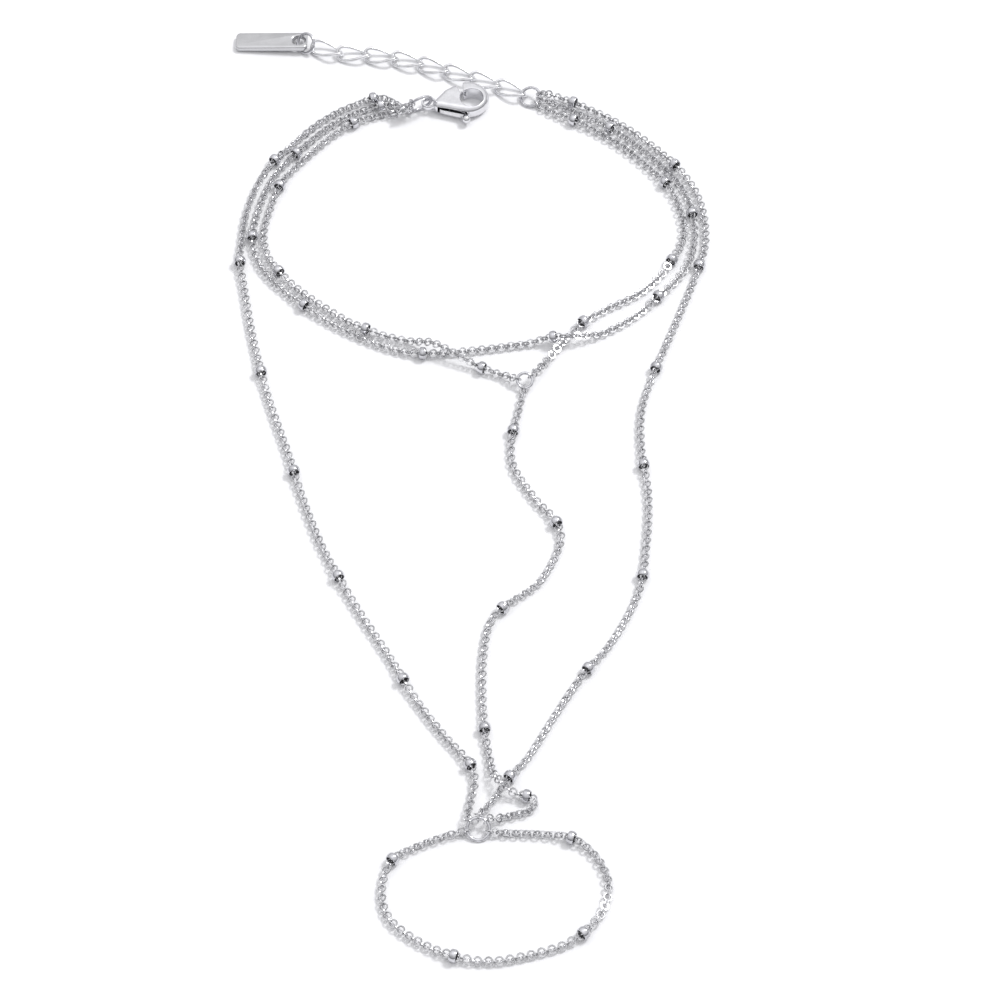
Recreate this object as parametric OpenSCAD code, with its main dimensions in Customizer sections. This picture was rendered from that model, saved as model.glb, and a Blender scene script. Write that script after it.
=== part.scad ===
// Hand chain of fine beaded cable chain, lying on a flat surface.
// A three-strand wrist bracelet carries three strands over the back of the hand
// to a small ring and a finger loop. A lobster clasp closes it on an extender
// of twisted links with a bare oblong tag. Millimetres, +Z up, finger end at -Y.

/* [Cable chain] */
// Outside diameter of the fine cable chain
chain_d = 0.96; // [0.8:0.02:1.1]
// Distance between neighbouring strands where they lie side by side
strand_gap = 1.42; // [1.36:0.02:1.8]
// Outside diameter of one round cable link
link_d = 1.1; // [0.9:0.05:1.3]
// Wire diameter of one round cable link
link_wire = 0.26; // [0.2:0.02:0.32]

/* [Beads] */
// Outside diameter of a station bead
bead_d = 1.54; // [1.4:0.02:1.6]
// Length of a station bead along its strand
bead_len = 1.0; // [0.8:0.1:1.4]
// Bore of a station bead, between the flats of its twelve sides
bead_bore = 1.2; // [1.1:0.02:1.24]
// Share of a station bead's length that keeps its full diameter
bead_belt = 0.4; // [0.3:0.05:0.6]

/* [Rings] */
// Outside diameter of the ring that carries the clasp
clasp_ring_d = 3.6; // [3.2:0.1:4.2]
// Outside diameter of the ring between the strands and the extender
extender_ring_d = 3.0; // [2.7:0.1:3.4]
// Outside diameter of the ring where the wrist strand meets the hand strand
wrist_ring_d = 2.3; // [2.2:0.1:2.8]
// Outside diameter of the ring that gathers the hand strands and finger loop
finger_ring_d = 3.0; // [2.8:0.1:3.6]
// Outside diameter of the ring through the tag
tag_ring_d = 3.0; // [2.6:0.1:3.2]
// Wire diameter of the rings
ring_wire = 0.4; // [0.3:0.02:0.46]

/* [Extender] */
// Number of twisted links in the extender
extender_links = 8; // [4:1:12]
// Length of a twisted link over its wire
twist_link_len = 4.8; // [3.6:0.05:5.5]
// Width of a twisted link over its wire
twist_link_w = 2.5; // [2.35:0.05:3.2]
// Wire diameter of a twisted link
twist_wire = 0.45; // [0.35:0.05:0.55]
// Turn of a twisted link from its middle to either end
twist_half = 45; // [30:1:50]

/* [Tag] */
// Length of the oblong tag
tag_len = 9.6; // [7:0.1:12]
// Width of the oblong tag
tag_w = 2.8; // [2.6:0.1:4]
// Thickness of the oblong tag
tag_t = 0.8; // [0.6:0.1:1]
// Diameter of the hole in the tag
tag_hole_d = 1.6; // [1.4:0.1:1.8]

/* [Clasp] */
// Thickness of the clasp
clasp_t = 2.0; // [1.8:0.1:2.4]
// Thickness of the clasp's lever
lever_t = 0.9; // [0.7:0.05:1]
// Outside diameter of the clasp's eye
eye_d = 2.1; // [1.9:0.05:2.3]
// Diameter of the hole in the clasp's eye
eye_hole_d = 1.24; // [1.1:0.02:1.3]
// Thickness of the clasp's eye
eye_t = 0.8; // [0.6:0.1:1]
// Diameter of the pin that the lever turns on
pin_d = 0.6; // [0.5:0.05:0.7]

/* [Parts to show] */
// Part to show: all of them or one by name

/* [Hidden] */

steel = [0.80, 0.81, 0.82];
bright_steel = [0.88, 0.88, 0.89];

low = 0.5;              // height of a strand's centre where it lies flat
mid = [-4.23, 5.81];    // middle of the whole outline in the layout below
chain_sides = 8;
bead_sides = 12;
ring_step = 1.8;        // largest distance between the cross sections along a strand
fewest_rings = 60;      // a short strand's cross sections lie closer
nose = 0.45;            // share of the strand's diameter left where it meets its end link
strand_out = 0.45;      // distance from a ring's wire centre to the end of a strand
rise_reach = 2.5;       // length over which a strand rises into a bead
wire_sides = 6;
link_steps = 16;
play = 0.24;            // play between neighbouring twisted links
ring_play = 0.2;        // play between the first twisted link and its ring
tag_play = 0.1;         // play between the last twisted link and the tag's ring, seen from above

// Rings: x, y and height of the centre, tilt about X, outside diameter, turn about Z
clasp_ring_at = [-10.48, 63.85, 1.74, 106, clasp_ring_d, 24];
extender_ring_at = [4.0, 65.95, 0.75, 25, extender_ring_d, -35];
wrist_ring_at = [3.1, 17.8, 1.12, 28, wrist_ring_d, 0];
finger_ring_at = [-2.5, -48.0, 0.84, 28, finger_ring_d, 0];

// Places on the rings where the strands end, in degrees round each ring
on_clasp = [220, 177, 140];     // left hand, long wrist, left wrist
on_extender = [46, 15, -18];    // right hand, long wrist, right wrist
on_wrist = [168, 38, -97];      // left wrist, right wrist, middle hand
on_finger = [138, 92, 45, 190, -12]; // left, right and middle hand, finger loop's two ends

// Route of the long wrist strand, clasp to extender: x, y, height
long_route = [
    [-14.9, 64.4, 0.6], [-18.4, 63.4, low], [-22.3, 60.8, low], [-25.9, 56.8, low],
    [-29.3, 52.1, low], [-31.1, 46.5, low], [-31.7, 41.2, low], [-30.3, 36.5, low],
    [-26.7, 32.1, low], [-21.4, 27.6, low], [-15.1, 24.0, low], [-10.4, 22.5, low],
    [-6.6, 22.7, low], [-1.3, 23.4, low], [3.4, 24.2, low], [6.2, 24.6, 1.3],
    [8.4, 24.5, 1.6], [10.4, 24.9, 1.3], [13.0, 25.9, low], [16.6, 28.3, low],
    [20.3, 32.0, low], [23.6, 36.5, low], [24.9, 41.4, low], [24.6, 46.5, low],
    [22.9, 51.2, low], [18.3, 57.0, low], [13.1, 61.4, low], [7.9, 64.4, 0.6]];
// Rest of the left hand strand, from the wrist to the finger ring
left_hand_route = [
    [-33.2, 37.5, low], [-32.5, 33.0, low], [-31.1, 25.0, low], [-29.0, 16.0, low],
    [-26.2, 7.0, low], [-24.3, 0.4, low], [-21.5, -7.6, low], [-17.6, -15.8, low],
    [-13.3, -23.5, low], [-10.2, -29.4, low], [-6.9, -34.5, low], [-3.6, -38.9, low],
    [-3.0, -41.4, low], [-3.4, -44.0, 0.6]];
// Start of the right hand strand, off the extender ring
right_hand_start = [[6.9, 66.1, 0.9], [8.8, 65.35, 0.6]];
// Rest of the right hand strand, from the wrist to the finger ring
right_hand_route = [
    [25.3, 36.5, low], [22.7, 28.9, low], [19.4, 19.8, low], [17.6, 13.6, low],
    [17.4, 7.3, low], [18.1, 0.0, low], [17.7, -7.4, low], [16.6, -14.4, low],
    [13.4, -21.4, low], [9.4, -27.0, low], [6.2, -32.6, low], [3.4, -37.8, low],
    [1.0, -41.0, low], [-0.6, -43.6, low], [-1.9, -45.6, 0.9]];
// Middle hand strand, from the wrist ring over the right hand strand to the finger ring
middle_hand_route = [
    [2.2, 12.8, low], [1.4, 8.5, low], [1.7, 4.5, low], [4.2, -0.2, low],
    [6.8, -3.9, low], [7.2, -7.4, low], [4.8, -12.7, low], [1.4, -15.7, low],
    [-1.1, -18.6, low], [-2.0, -23.5, low], [-2.1, -29.9, low], [-1.7, -35.2, low],
    [-1.2, -38.5, low], [-0.8, -40.6, 1.2], [0.1, -42.2, 1.85], [1.2, -43.0, 1.2],
    [2.2, -43.3, 0.8], [3.2, -43.5, 0.7], [4.1, -44.3, low], [3.3, -45.4, low], [1.6, -45.9, low],
    [0.1, -46.4, 0.7]];
// Start of the left wrist strand, off the clasp ring
left_wrist_start = [[-13.1, 62.2, 1.75]];
// Rest of the left wrist strand, over the long strand to the wrist ring
left_wrist_route = [
    [-16.5, 26.2, low], [-11.6, 24.5, 0.7], [-8.8, 23.6, 1.6], [-6.9, 22.5, 1.75],
    [-4.9, 21.4, 1.35], [-1.6, 19.8, 0.6], [0.8, 18.8, 0.8]];
// First part of the right wrist strand, from the wrist ring under the long strand
right_wrist_route = [
    [5.3, 20.4, 0.9], [6.6, 22.5, low], [8.3, 25.0, low], [10.3, 27.4, low],
    [13.4, 29.8, low], [17.6, 32.4, low], [21.0, 36.2, low]];
// Finger loop, from the finger ring round to it again
finger_route = [
    [-6.3, -48.8, low], [-9.5, -50.2, low], [-12.4, -52.2, low], [-13.5, -56.0, low],
    [-12.6, -59.8, low], [-9.3, -62.8, low], [-5.0, -64.9, low], [-1.0, -65.4, low],
    [3.4, -64.6, low], [8.2, -62.8, low], [11.2, -59.6, low], [12.4, -55.6, low],
    [11.2, -51.8, low], [8.4, -49.2, low], [4.5, -48.5, low], [1.2, -48.4, low]];

// Beads: distance of each along its strand from the strand's first end
left_hand_at = [5.4, 22.3, 40.3, 58.6, 74.9, 91.9, 108.9, 123.4];
right_hand_at = [4.3, 21.5, 39.6, 57.3, 72.9, 89.7, 105.1, 123.0];
middle_hand_at = [6.5, 22.2, 37.6, 55.5, 67.8];
long_wrist_at = [4.0, 18.0, 33.5, 47.3, 64.6, 81.2, 97.2, 112.5, 131.0];
left_wrist_at = [9.1, 23.6, 38.8, 53.6, 69.9];
right_wrist_at = [11.2, 26.7, 40.6, 56.8];
finger_at = [9.0, 26.2, 41.7, 56.9];

function unit(v) = v / norm(v);
function turn(v) = [-v[1], v[0], 0];

// Point on the smooth curve from b to c
function blend(a, b, c, d, t) =
    0.5 * (2 * b + (c - a) * t + (2 * a - 5 * b + 4 * c - d) * t * t
        + (3 * b - a - 3 * c + d) * t * t * t);
function smooth(p, n = 8) =
    let (k = len(p) - 1)
    [for (i = [0 : k - 1], j = [0 : n - 1])
        blend(p[max(i - 1, 0)], p[i], p[i + 1], p[min(i + 2, k)], j / n), p[k]];
function runs(c) =
    [for (i = 0, s = 0; i < len(c); i = i + 1, s = i < len(c) ? s + norm(c[i] - c[i - 1]) : s) s];

// A track holds a lookup table from distance to x, y and height
function track(p) =
    let (c = smooth(p), s = runs(c))
    [for (a = [0 : 2]) [for (i = [0 : len(c) - 1]) [s[i], c[i][a]]]];
function track_len(t) = t[0][len(t[0]) - 1][0];
function level(t, s) = [for (a = [0 : 2]) lookup(s, t[a])];
// The strand rises to the middle of each bead, which rests on the surface
function place(t, beads, s) =
    let (p = level(t, s),
        near = max([0, for (b = beads) 1 - pow(min(1, abs(s - b) / rise_reach), 2)]),
        lift = low + (bead_d / 2 - low) * near)
    [p[0], p[1], max(p[2], lift)];
function heading(t, beads, s) = unit(place(t, beads, s + 0.3) - place(t, beads, s - 0.3));

// Points of a route moved sideways, to its left when the distance is positive
function beside(p, from, to, d) =
    [for (i = [from : to])
        let (h = p[min(i + 1, len(p) - 1)] - p[max(i - 1, 0)], side = unit(turn(h)))
        p[i] + d * side];
function back(p) = [for (i = [len(p) - 1 : -1 : 0]) p[i]];

// Point at an angle round a ring, further out than its wire's centre
function round_ring(r, a, out = 0) =
    let (reach = (r[4] - ring_wire) / 2 + out, x = reach * cos(a), y = reach * sin(a) * cos(r[3]))
    [r[0] + x * cos(r[5]) - y * sin(r[5]), r[1] + x * sin(r[5]) + y * cos(r[5]),
        r[2] + reach * sin(a) * sin(r[3])];

long_track = track(concat([round_ring(clasp_ring_at, on_clasp[1], strand_out)], long_route,
    [round_ring(extender_ring_at, on_extender[1], strand_out)]));
left_hand_track = track(concat([round_ring(clasp_ring_at, on_clasp[0], strand_out)],
    beside(long_route, 0, 6, -strand_gap), left_hand_route,
    [round_ring(finger_ring_at, on_finger[0], strand_out)]));
right_hand_track = track(concat([round_ring(extender_ring_at, on_extender[0], strand_out)],
    right_hand_start, back(beside(long_route, 22, 26, -strand_gap)), right_hand_route,
    [round_ring(finger_ring_at, on_finger[1], strand_out)]));
middle_hand_track = track(concat([round_ring(wrist_ring_at, on_wrist[2], strand_out)],
    middle_hand_route, [round_ring(finger_ring_at, on_finger[2], strand_out)]));
left_wrist_track = track(concat([round_ring(clasp_ring_at, on_clasp[2], strand_out)],
    left_wrist_start, beside(long_route, 0, 9, strand_gap), left_wrist_route,
    [round_ring(wrist_ring_at, on_wrist[0], strand_out)]));
right_wrist_track = track(concat([round_ring(wrist_ring_at, on_wrist[1], strand_out)],
    right_wrist_route, beside(long_route, 22, 27, strand_gap),
    [round_ring(extender_ring_at, on_extender[2], strand_out)]));
finger_track = track(concat([round_ring(finger_ring_at, on_finger[3], strand_out)],
    finger_route, [round_ring(finger_ring_at, on_finger[4], strand_out)]));

// Extender: its heading at each link, and at last at the tag's ring
twist_a = (twist_link_len - twist_wire) / 2;
twist_b = (twist_link_w - twist_wire) / 2;
twist_pitch = 2 * twist_a - twist_wire - play;
headings = [[0, 155], [1, 158.5], [2, 159], [3, 159], [4, 164], [5, 170.5], [6, 176],
    [7, 160], [8, 165]];
function heading_at(k) = lookup(k, headings);
function out_at(k) = [cos(heading_at(k)), sin(heading_at(k))];
function link_at(k) = k == 0
    ? [extender_ring_at[0], extender_ring_at[1]] + out_at(0)
        * ((extender_ring_d - ring_wire) / 2 - (ring_wire + twist_wire) / 2 - ring_play + twist_a)
    : link_at(k - 1) + twist_pitch / 2 * (out_at(k - 1) + out_at(k));
function link_point(a) =
    let (x = twist_a * cos(a), y = twist_b * sin(a), w = -twist_half * cos(a))
    [x, y * cos(w), y * sin(w)];
link_low = min([for (i = [0 : link_steps - 1]) link_point(360 * i / link_steps)[2]])
    - twist_wire / 2;

tag_ring_tilt = 50;
tag_ring_turn = -45;
tag_ring_xy = link_at(extender_links - 1) + out_at(extender_links)
    * (twist_a + (tag_ring_d - ring_wire) / 2 - (ring_wire + twist_wire) / 2 - tag_play);
tag_ring_at = [tag_ring_xy[0], tag_ring_xy[1],
    (tag_ring_d - ring_wire) / 2 * sin(tag_ring_tilt) + ring_wire / 2, tag_ring_tilt, tag_ring_d,
    tag_ring_turn];
tag_hole_at = [tag_ring_xy[0] - 0.95, tag_ring_xy[1] + 0.55];
tag_hole_in = 1.2;      // from the middle of the hole to the tag's end
tag_slope = 3.4;        // the ring under the tag lifts its end
tag_turn = -2.7;        // the tag's long axis turned from X
tag_corner = 0.6;

// Clasp: middle of the eye on the ring, long axis turned from +X
clasp_at = [-9.38, 64.52];
clasp_turn = 7.6;
pivot = [2.9, -0.2];
// Discs that the lever's plate is drawn round: place and radius
hub = [pivot[0], pivot[1], 0.75];
neck = [pivot[0], pivot[1], 0.6];
elbow = [1.6, -1.3, 0.35];
bend = [4.2, -2.5, 0.35];
thumb = [4.56, -3.42, 0.42];
gate = [4.42, 1.25, 0.3];
thumb_ball_d = 1.1;
lever_play = 0.12;
slot_t = lever_t + lever_play;
pin_bore_d = pin_d + lever_play;
pin_sink = 0.3;         // depth of the pin's ends below the clasp's faces
lever_swing = 20;

module on_surface() {
    translate([-mid[0], -mid[1], 0]) children();
}

module torus(d, wire) {
    rotate_extrude($fn = 48) translate([(d - wire) / 2, 0]) circle(d = wire, $fn = 24);
}

module ring(r) {
    color(bright_steel) on_surface() translate([r[0], r[1], r[2]]) rotate([r[3], 0, r[5]])
        torus(r[4], ring_wire);
}

// Cable link that holds a strand's end on a ring
module end_link(r, a) {
    translate([r[0], r[1], r[2]]) rotate([r[3], 0, r[5]]) rotate([0, 0, a])
        translate([(r[4] - ring_wire) / 2 + 0.03, 0, 0]) rotate([90, 0, 0])
            torus(link_d, link_wire);
}

// Eight-sided run of chain along a track
module run(t, beads) {
    long = track_len(t);
    n = max(fewest_rings, ceil(long / ring_step));
    pts = [for (i = [0 : n])
        let (s = long * i / n, c = place(t, beads, s), h = heading(t, beads, s),
            side = unit(cross(h, [0, 0, 1])), up = cross(side, h),
            r = chain_d / 2 * (i == 0 || i == n ? nose : 1))
        for (k = [0 : chain_sides - 1])
            let (a = 360 * (k + 0.5) / chain_sides) c + r * (cos(a) * side + sin(a) * up)];
    sides = [for (i = [0 : n - 1], k = [0 : chain_sides - 1])
        let (a = i * chain_sides, l = (k + 1) % chain_sides)
        [a + k, a + l, a + chain_sides + l, a + chain_sides + k]];
    polyhedron(pts, concat([[for (k = [chain_sides - 1 : -1 : 0]) k]], sides,
        [[for (k = [0 : chain_sides - 1]) n * chain_sides + k]]));
}

module strand(t, beads, first, first_a, last, last_a) {
    color(steel) on_surface() union() {
        run(t, beads);
        end_link(first, first_a);
        end_link(last, last_a);
    }
}

module bead() {
    bore = bead_bore / 2 / cos(180 / bead_sides);
    belt = bead_len / 2 * bead_belt;
    rotate_extrude($fn = bead_sides) polygon([[bore, -bead_len / 2], [bead_d / 2, -belt],
        [bead_d / 2, belt], [bore, bead_len / 2]]);
}

// Beads threaded on a strand, each square to the chain
module bead_row(t, beads) {
    color(bright_steel) on_surface() for (b = beads) {
        h = heading(t, beads, b);
        translate(place(t, beads, b)) rotate([0, 0, atan2(h[1], h[0])])
            rotate([0, 90 - asin(h[2]), 0]) bead();
    }
}

module left_hand_strand() {
    strand(left_hand_track, left_hand_at, clasp_ring_at, on_clasp[0],
        finger_ring_at, on_finger[0]);
}
module left_hand_beads() { bead_row(left_hand_track, left_hand_at); }

module right_hand_strand() {
    strand(right_hand_track, right_hand_at, extender_ring_at, on_extender[0],
        finger_ring_at, on_finger[1]);
}
module right_hand_beads() { bead_row(right_hand_track, right_hand_at); }

module middle_hand_strand() {
    strand(middle_hand_track, middle_hand_at, wrist_ring_at, on_wrist[2],
        finger_ring_at, on_finger[2]);
}
module middle_hand_beads() { bead_row(middle_hand_track, middle_hand_at); }

module long_wrist_strand() {
    strand(long_track, long_wrist_at, clasp_ring_at, on_clasp[1],
        extender_ring_at, on_extender[1]);
}
module long_wrist_beads() { bead_row(long_track, long_wrist_at); }

module left_wrist_strand() {
    strand(left_wrist_track, left_wrist_at, clasp_ring_at, on_clasp[2],
        wrist_ring_at, on_wrist[0]);
}
module left_wrist_beads() { bead_row(left_wrist_track, left_wrist_at); }

module right_wrist_strand() {
    strand(right_wrist_track, right_wrist_at, wrist_ring_at, on_wrist[1],
        extender_ring_at, on_extender[2]);
}
module right_wrist_beads() { bead_row(right_wrist_track, right_wrist_at); }

module finger_strand() {
    strand(finger_track, finger_at, finger_ring_at, on_finger[3],
        finger_ring_at, on_finger[4]);
}
module finger_beads() { bead_row(finger_track, finger_at); }

module clasp_ring() { ring(clasp_ring_at); }
module extender_ring() { ring(extender_ring_at); }
module wrist_ring() { ring(wrist_ring_at); }
module finger_ring() { ring(finger_ring_at); }
module tag_ring() { ring(tag_ring_at); }

// Oval wire link, twisted so that its neighbours pass through it crosswise
module twisted_link(k) {
    xy = link_at(k);
    n = link_steps;
    pts = [for (i = [0 : n - 1])
        let (a = 360 * i / n, c = link_point(a),
            h = unit(link_point(a + 2) - link_point(a - 2)),
            w = -twist_half * cos(a), flat = [0, -sin(w), cos(w)],
            side = unit(cross(h, flat)), up = cross(side, h))
        for (j = [0 : wire_sides - 1])
            let (b = 360 * j / wire_sides) c + twist_wire / 2 * (cos(b) * side + sin(b) * up)];
    faces = [for (i = [0 : n - 1], j = [0 : wire_sides - 1])
        let (a = i * wire_sides, b = (i + 1) % n * wire_sides, l = (j + 1) % wire_sides)
        [a + j, a + l, b + l, b + j]];
    color(bright_steel) on_surface() translate([xy[0], xy[1], -link_low])
        rotate([0, 0, heading_at(k)]) polyhedron(pts, faces);
}

module extender_link_1() { twisted_link(0); }
module extender_link_2() { twisted_link(1); }
module extender_link_3() { twisted_link(2); }
module extender_link_4() { twisted_link(3); }
module extender_link_5() { twisted_link(4); }
module extender_link_6() { twisted_link(5); }
module extender_link_7() { twisted_link(6); }
module extender_link_8() { twisted_link(7); }

module rounded_plate(long, wide, r) {
    union() {
        translate([r, 0]) square([long - 2 * r, wide]);
        translate([0, r]) square([long, wide - 2 * r]);
        for (x = [r, long - r], y = [r, wide - r]) translate([x, y]) circle(r = r, $fn = 32);
    }
}

module tag() {
    color(steel) on_surface() translate([tag_hole_at[0], tag_hole_at[1], 0])
        rotate([0, 0, tag_turn]) translate([tag_hole_in - tag_len, 0, 0])
        rotate([0, -tag_slope, 0]) linear_extrude(tag_t) difference() {
            translate([0, -tag_w / 2]) rounded_plate(tag_len, tag_w, tag_corner);
            translate([tag_len - tag_hole_in, 0]) circle(d = tag_hole_d, $fn = 32);
        }
}

module clasp_place() {
    on_surface() translate([clasp_at[0], clasp_at[1], 0]) rotate([0, 0, clasp_turn]) children();
}

// Outline of the clasp's body, seen from above
module clasp_outline() {
    hull() {
        translate([1.3, -0.6]) circle(r = 0.8, $fn = 32);
        translate([3.0, 0.6]) circle(r = 1.2, $fn = 32);
        translate([5.27, -0.03]) circle(r = 2.7, $fn = 48);
    }
}

// Hole that the hook goes round
module clasp_window() {
    hull() {
        translate([5.65, -0.5]) circle(r = 1.55, $fn = 32);
        translate([4.5, 0.1]) circle(r = 0.3, $fn = 32);
        translate([4.95, -1.6]) circle(r = 0.3, $fn = 32);
    }
}

// Mouth of the hook, on the far side
module clasp_mouth() {
    hull() {
        translate([4.3, 2.4]) circle(r = 0.5, $fn = 32);
        translate([4.5, 0.6]) circle(r = 0.24, $fn = 32);
    }
}

module about_pivot(a) {
    translate(pivot) rotate(a) translate(-pivot) children();
}

// Limb of the lever between two of its discs, over a swing and larger by a clearance
module limb(from, to, more, swing) {
    hull() for (a = [0 : -5 : -swing], d = [from, to])
        about_pivot(a) translate([d[0], d[1]]) circle(r = d[2] + more, $fn = 32);
}

module lever_outline(more = 0, swing = 0) {
    limb(hub, elbow, more, swing);
    limb(elbow, bend, more, swing);
    limb(bend, thumb, more, swing);
    limb(neck, gate, more, swing);
}

module clasp_body() {
    color(bright_steel) clasp_place() {
        difference() {
            union() {
                linear_extrude(clasp_t) clasp_outline();
                translate([0, 0, (clasp_t - eye_t) / 2]) linear_extrude(eye_t)
                    circle(d = eye_d, $fn = 40);
            }
            translate([0, 0, -1]) linear_extrude(clasp_t + 2) {
                circle(d = eye_hole_d, $fn = 40);
                clasp_window();
                clasp_mouth();
            }
            translate([0, 0, (clasp_t - slot_t) / 2]) linear_extrude(slot_t)
                lever_outline(lever_play, lever_swing);
        }
        translate([pivot[0], pivot[1], pin_sink])
            cylinder(d = pin_d, h = clasp_t - 2 * pin_sink, $fn = 32);
    }
}

module clasp_lever() {
    color(bright_steel) clasp_place() difference() {
        union() {
            translate([0, 0, (clasp_t - lever_t) / 2]) linear_extrude(lever_t) lever_outline();
            translate([thumb[0], thumb[1], clasp_t / 2]) sphere(d = thumb_ball_d, $fn = 32);
        }
        translate([pivot[0], pivot[1], 0]) cylinder(d = pin_bore_d, h = clasp_t, $fn = 32);
    }
}

left_hand_strand();
left_hand_beads();
right_hand_strand();
right_hand_beads();
middle_hand_strand();
middle_hand_beads();
long_wrist_strand();
long_wrist_beads();
left_wrist_strand();
left_wrist_beads();
right_wrist_strand();
right_wrist_beads();
finger_strand();
finger_beads();
clasp_ring();
extender_ring();
wrist_ring();
finger_ring();
extender_link_1();
extender_link_2();
extender_link_3();
extender_link_4();
extender_link_5();
extender_link_6();
extender_link_7();
extender_link_8();
tag_ring();
tag();
clasp_body();
clasp_lever();
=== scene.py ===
"""Hand chain of fine beaded cable chain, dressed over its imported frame.

A three-strand wrist bracelet carries three strands over the back of the hand to a
small ring and a finger loop. A lobster clasp closes it on an extender of twisted
links with a bare oblong tag. Pieces are modelled in millimetres, in the layout that
the camera looks at, and are set down in metres in the frame of the part: +Z up,
the finger end at -Y.
"""

import bisect
import logging
import math
import random
from dataclasses import dataclass, field
from enum import Enum
from typing import Callable, Iterable, Sequence

import bmesh
import bpy
from mathutils import Matrix, Vector


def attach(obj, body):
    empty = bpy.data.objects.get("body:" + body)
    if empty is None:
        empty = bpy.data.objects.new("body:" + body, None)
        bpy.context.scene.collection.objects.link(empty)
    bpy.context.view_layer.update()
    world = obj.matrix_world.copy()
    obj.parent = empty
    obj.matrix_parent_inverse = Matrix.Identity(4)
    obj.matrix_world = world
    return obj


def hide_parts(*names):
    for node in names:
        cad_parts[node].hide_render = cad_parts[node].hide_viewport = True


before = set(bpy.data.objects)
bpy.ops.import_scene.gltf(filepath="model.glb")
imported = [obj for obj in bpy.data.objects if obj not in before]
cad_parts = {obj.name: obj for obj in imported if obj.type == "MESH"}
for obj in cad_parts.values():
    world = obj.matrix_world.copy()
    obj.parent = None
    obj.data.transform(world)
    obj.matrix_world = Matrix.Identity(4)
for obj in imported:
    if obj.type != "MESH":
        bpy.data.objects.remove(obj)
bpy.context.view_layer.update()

log = logging.getLogger("hand_chain")

MM = 0.001
LAYOUT_MIDDLE = Vector((-4.23, 5.81, 0.0))
TO_PART = Matrix.Scale(MM, 4) @ Matrix.Translation(-LAYOUT_MIDDLE)
UP = Vector((0.0, 0.0, 1.0))
# Millimetres within which a point lies on a plane, and within which two points are one
TOUCH = 0.01
MERGE = 0.001
# Degrees past which an edge is rounded, and below which it is shaded smooth
SHARP_EDGE = 60.0
SMOOTH_BELOW = 42.0

Place = tuple[float, float, float]
Disc = tuple[float, float, float]
Stops = tuple[tuple[float, str], ...]
RoutePoint = tuple[float, ...]


class Body(Enum):
    """Bodies of the frame that a piece rides on."""

    CHAIN = "chain"
    LEVER = "lever"


class Part(Enum):
    """Parts of a mesh that a test in code may select."""

    VERTEX = "VERT"
    EDGE = "EDGE"
    FACE = "FACE"


def turned(axis: str, degrees: float) -> Matrix:
    """Return a rotation about an axis, in degrees."""
    return Matrix.Rotation(math.radians(degrees), 4, axis)


def moved(x: float, y: float, z: float = 0.0) -> Matrix:
    """Return a translation."""
    return Matrix.Translation((x, y, z))


def axes(origin: Vector, x: Vector, z: Vector) -> Matrix:
    """Return the place of a thing from its origin and two of its directions.

    Args:
        origin: Where the thing's own origin goes.
        x: Direction of its long axis.
        z: Rough direction of its normal, made square to the long axis.

    Returns:
        A rigid transform.
    """
    along = x.normalized()
    normal = (z - along * z.dot(along)).normalized()
    across = normal.cross(along)
    place = Matrix((along, across, normal)).transposed().to_4x4()
    place.translation = origin
    return place


def deselect_all() -> None:
    """Leave edit mode and deselect every object."""
    if bpy.context.object and bpy.context.object.mode != "OBJECT":
        bpy.ops.object.mode_set(mode="OBJECT")
    bpy.ops.object.select_all(action="DESELECT")


def only(obj: bpy.types.Object) -> None:
    """Select one object alone and make it the active one.

    Args:
        obj: The object.
    """
    deselect_all()
    obj.select_set(True)
    bpy.context.view_layer.objects.active = obj


def edit(
    obj: bpy.types.Object, part: Part, test: Callable[[Vector], bool] | None = None
) -> None:
    """Go into edit mode on an object with some of its mesh selected.

    Args:
        obj: The object to edit.
        part: Whether vertices, edges or faces are selected.
        test: Says from the middle of each one whether it is selected. Without it all are.
    """
    only(obj)
    bpy.ops.object.mode_set(mode="EDIT")
    bpy.ops.mesh.select_mode(type=part.value)
    bpy.ops.mesh.select_all(action="DESELECT")
    mesh = bmesh.from_edit_mesh(obj.data)
    parts = {Part.VERTEX: mesh.verts, Part.EDGE: mesh.edges, Part.FACE: mesh.faces}[part]
    for one in parts:
        if part is Part.VERTEX:
            middle = one.co
        else:
            middle = sum((vertex.co for vertex in one.verts), Vector()) / len(one.verts)
        if test is None or test(middle):
            one.select_set(True)
    mesh.select_flush_mode()
    bmesh.update_edit_mesh(obj.data)


def leave_edit() -> None:
    """Go back to object mode."""
    bpy.ops.object.mode_set(mode="OBJECT")


def settle() -> bpy.types.Object:
    """Put the active object's place, turn and size into its mesh and return it."""
    bpy.ops.object.transform_apply(location=True, rotation=True, scale=True)
    return bpy.context.object


def rod(radius: float, length: float, place: Place, sides: int) -> bpy.types.Object:
    """Model an upright solid cylinder, for a pin or a drill.

    Args:
        radius: Its radius.
        length: Its length.
        place: Place of its middle.
        sides: Corners round it.

    Returns:
        The cylinder.
    """
    deselect_all()
    bpy.ops.mesh.primitive_cylinder_add(
        vertices=sides, radius=radius, depth=length, location=place
    )
    return settle()


def apply_modifier(obj: bpy.types.Object, kind: str, **settings: object) -> None:
    """Add a modifier to an object and apply it.

    Args:
        obj: The object to change.
        kind: Blender's name for the modifier's type.
        **settings: The modifier's own settings.
    """
    only(obj)
    modifier = obj.modifiers.new(kind.title(), kind)
    for name, value in settings.items():
        setattr(modifier, name, value)
    bpy.ops.object.modifier_apply(modifier=modifier.name)


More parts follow.
